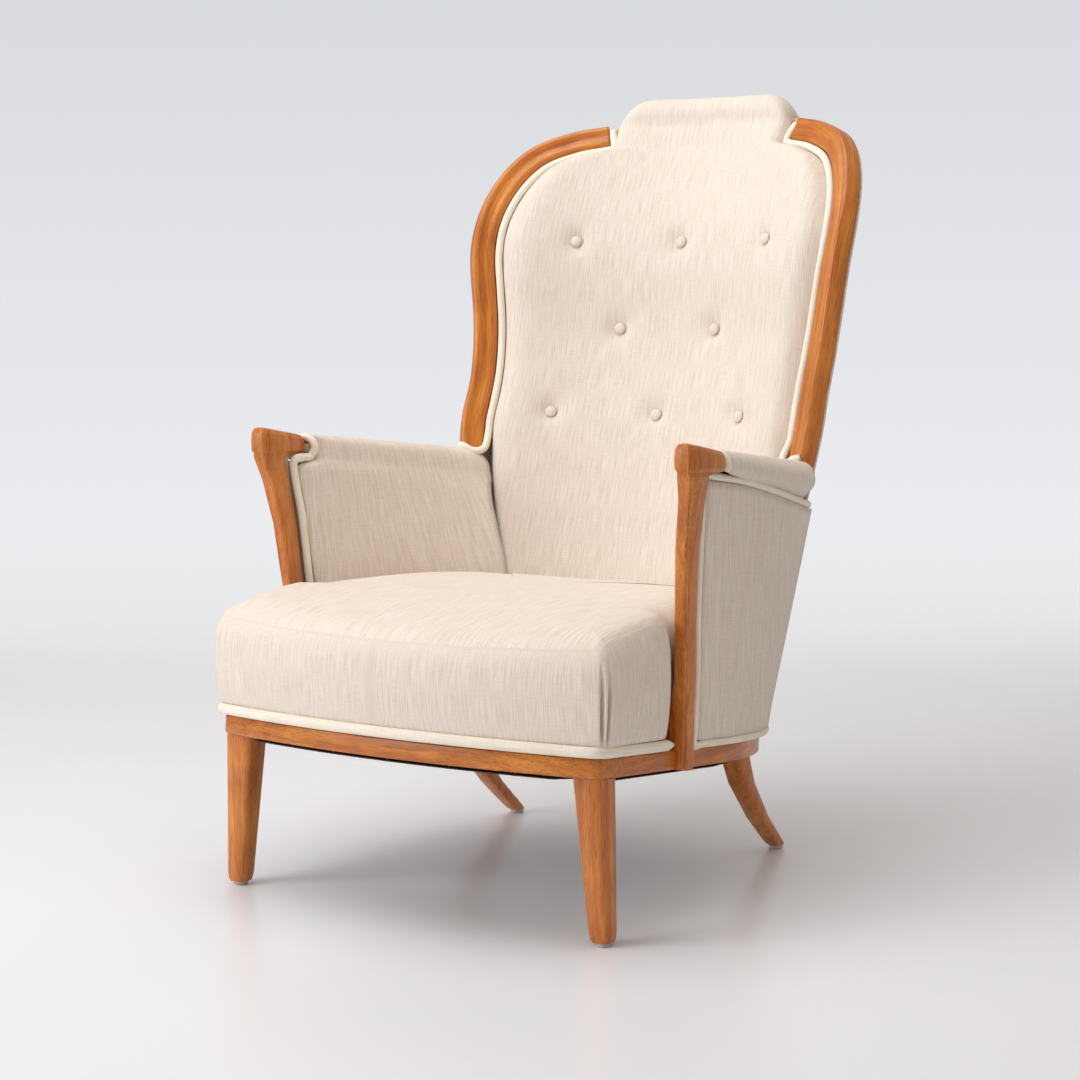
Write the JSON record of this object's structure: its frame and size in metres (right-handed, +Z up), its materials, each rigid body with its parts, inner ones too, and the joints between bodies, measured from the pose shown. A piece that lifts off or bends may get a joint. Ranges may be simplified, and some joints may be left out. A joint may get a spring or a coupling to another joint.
{
  "type": "high-back fireside armchair",
  "caption": "High-back fireside armchair with a bent wood bow round a buttoned barrel back, carved arm posts, padded arm rolls, a sprung seat and sabre rear legs.",
  "frame": {"origin": "on the floor, under the middle of the whole chair", "axes": "+Z up from the floor to the crest, -Y the way a sitter faces, +X to the sitter's left"},
  "size_m": [0.68, 0.8696, 1.0522],
  "materials": {
    "show_wood": "satin lacquer over warm orange-brown stained beech",
    "frame_beech": "plain sawn beech",
    "linen": "slubbed beige linen weave",
    "cream_piping": "cream piping cloth over cord",
    "jute": "plain jute weave",
    "horsehair": "curled hair and fibre",
    "dust_cloth": "plain dark cotton",
    "steel": "bright steel",
    "glide_nylon": "moulded pale grey nylon"
  },
  "bodies": {
    "root": {"front_seat_rail": "show_wood", "left_seat_rail": "show_wood", "right_seat_rail": "show_wood", "rear_seat_rail": "show_wood", "corner_blocks": "frame_beech", "corner_block_screws": "steel", "rail_dowels": "frame_beech", "left_front_leg": "show_wood", "right_front_leg": "show_wood", "left_rear_leg": "show_wood", "right_rear_leg": "show_wood", "leg_bolts": "steel", "glides": "glide_nylon", "left_arm_post": "show_wood", "right_arm_post": "show_wood", "post_screws": "steel", "left_arm_rail": "frame_beech", "right_arm_rail": "frame_beech", "left_back_stile": "show_wood", "right_back_stile": "show_wood", "lower_back_rail": "frame_beech", "crest_rail": "frame_beech", "back_dowels": "frame_beech", "seat_webbing": "jute", "seat_springs": "steel", "seat_hessian": "jute", "seat_pad": "horsehair", "seat_cover": "linen", "seat_welt": "cream_piping", "back_webbing": "jute", "back_hessian": "jute", "back_pad": "horsehair", "inside_back_cover": "linen", "back_buttons": "linen", "back_welts": "cream_piping", "left_arm_hessian": "jute", "right_arm_hessian": "jute", "left_arm_pad": "horsehair", "right_arm_pad": "horsehair", "left_inside_arm_cover": "linen", "right_inside_arm_cover": "linen", "left_outside_arm_panel": "linen", "right_outside_arm_panel": "linen", "left_arm_welt": "cream_piping", "right_arm_welt": "cream_piping", "left_panel_welt": "cream_piping", "right_panel_welt": "cream_piping", "outside_back_panel": "linen", "dust_cover": "dust_cloth", "cover_tacks": "steel"}
  },
  "joints": []
}
